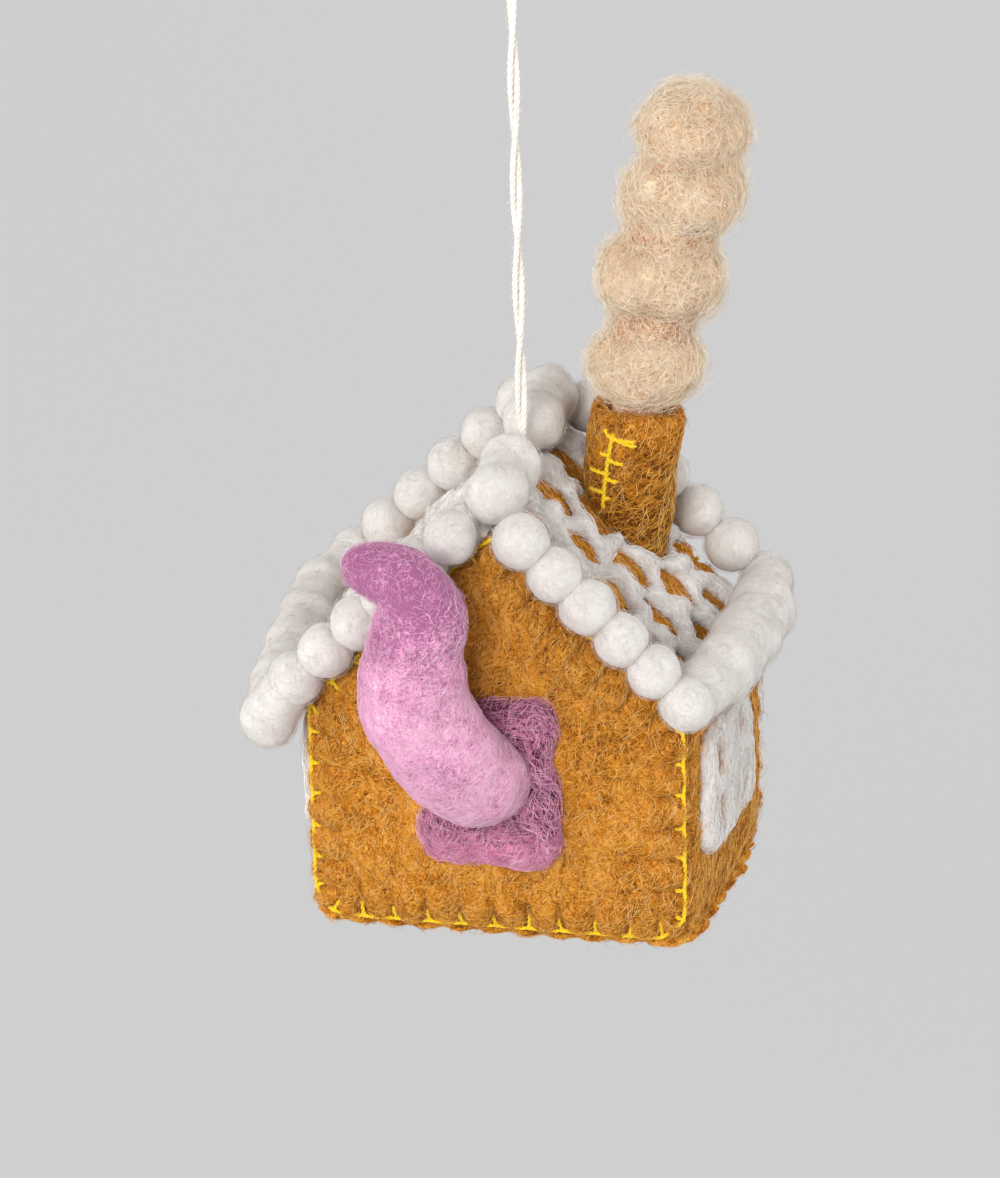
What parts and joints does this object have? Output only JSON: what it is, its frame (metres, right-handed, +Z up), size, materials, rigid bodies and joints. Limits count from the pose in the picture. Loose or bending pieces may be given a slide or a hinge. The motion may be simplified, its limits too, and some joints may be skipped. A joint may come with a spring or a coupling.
{
  "type": "felt gingerbread house ornament",
  "caption": "Hanging stuffed felt gingerbread house with wool icing, felt balls along its roof edges, a smoking chimney and a wool tentacle reaching out of its door; it swings on a string.",
  "frame": {"origin": "inside of the string loop at its top, where a hook or twig takes it", "axes": "+Z up along the hanging string, -Y the front of the house with the tentacle, +X the side of the chimney"},
  "size_m": [0.0985, 0.0897, 0.1946],
  "materials": {
    "gingerbread_felt": "matte",
    "white_felt_ball": "matte",
    "white_wool_icing": "matte",
    "mauve_wool": "matte",
    "plum_wool": "matte",
    "cream_wool_smoke": "matte",
    "yellow_thread": "matte",
    "cotton_string": "matte",
    "fibre_stuffing": "matte"
  },
  "bodies": {
    "hanger": {"hanger_loop": "cotton_string"},
    "knot": {"hanger_knot": "cotton_string"},
    "house": {"back_edge_stitching": "yellow_thread", "back_left_rake_ball_1": "white_felt_ball", "back_left_rake_ball_2": "white_felt_ball", "back_left_rake_ball_3": "white_felt_ball", "back_left_rake_ball_4": "white_felt_ball", "back_left_rake_ball_5": "white_felt_ball", "back_left_rake_ball_6": "white_felt_ball", "back_right_rake_ball_1": "white_felt_ball", "back_right_rake_ball_2": "white_felt_ball", "back_right_rake_ball_3": "white_felt_ball", "back_right_rake_ball_4": "white_felt_ball", "back_right_rake_ball_5": "white_felt_ball", "back_right_rake_ball_6": "white_felt_ball", "back_wall": "gingerbread_felt", "chimney_seam": "yellow_thread", "chimney_tube": "gingerbread_felt", "door_patch": "plum_wool", "floor_panel": "gingerbread_felt", "front_edge_stitching": "yellow_thread", "front_left_rake_ball_1": "white_felt_ball", "front_left_rake_ball_2": "white_felt_ball", "front_left_rake_ball_3": "white_felt_ball", "front_left_rake_ball_4": "white_felt_ball", "front_left_rake_ball_5": "white_felt_ball", "front_left_rake_ball_6": "white_felt_ball", "front_right_rake_ball_1": "white_felt_ball", "front_right_rake_ball_2": "white_felt_ball", "front_right_rake_ball_3": "white_felt_ball", "front_right_rake_ball_4": "white_felt_ball", "front_right_rake_ball_5": "white_felt_ball", "front_right_rake_ball_6": "white_felt_ball", "front_wall": "gingerbread_felt", "left_eave_ball_1": "white_felt_ball", "left_eave_ball_2": "white_felt_ball", "left_eave_ball_3": "white_felt_ball", "left_eave_ball_4": "white_felt_ball", "left_eave_ball_5": "white_felt_ball", "left_roof": "gingerbread_felt", "left_roof_icing": "white_wool_icing", "left_wall": "gingerbread_felt", "left_window_icing": "white_wool_icing", "ridge_ball_1": "white_felt_ball", "ridge_ball_2": "white_felt_ball", "ridge_ball_3": "white_felt_ball", "ridge_ball_4": "white_felt_ball", "right_eave_ball_1": "white_felt_ball", "right_eave_ball_2": "white_felt_ball", "right_eave_ball_3": "white_felt_ball", "right_roof": "gingerbread_felt", "right_roof_icing": "white_wool_icing", "right_wall": "gingerbread_felt", "right_window_icing": "white_wool_icing", "smoke_puff_1": "cream_wool_smoke", "smoke_puff_2": "cream_wool_smoke", "smoke_puff_3": "cream_wool_smoke", "smoke_puff_4": "cream_wool_smoke", "stuffing": "fibre_stuffing", "tentacle": "mauve_wool"}
  },
  "joints": [
    {"name": "rock", "type": "hinge", "parent": "hanger", "child": "knot", "pos_m": [0, 0, -0.11155], "axis": [0, 1, 0], "range_deg": [-12, 30]},
    {"name": "nod", "type": "hinge", "parent": "knot", "child": "house", "pos_m": [0, 0, -0.11155], "axis": [1, 0, 0], "range_deg": [-12, 12]}
  ]
}
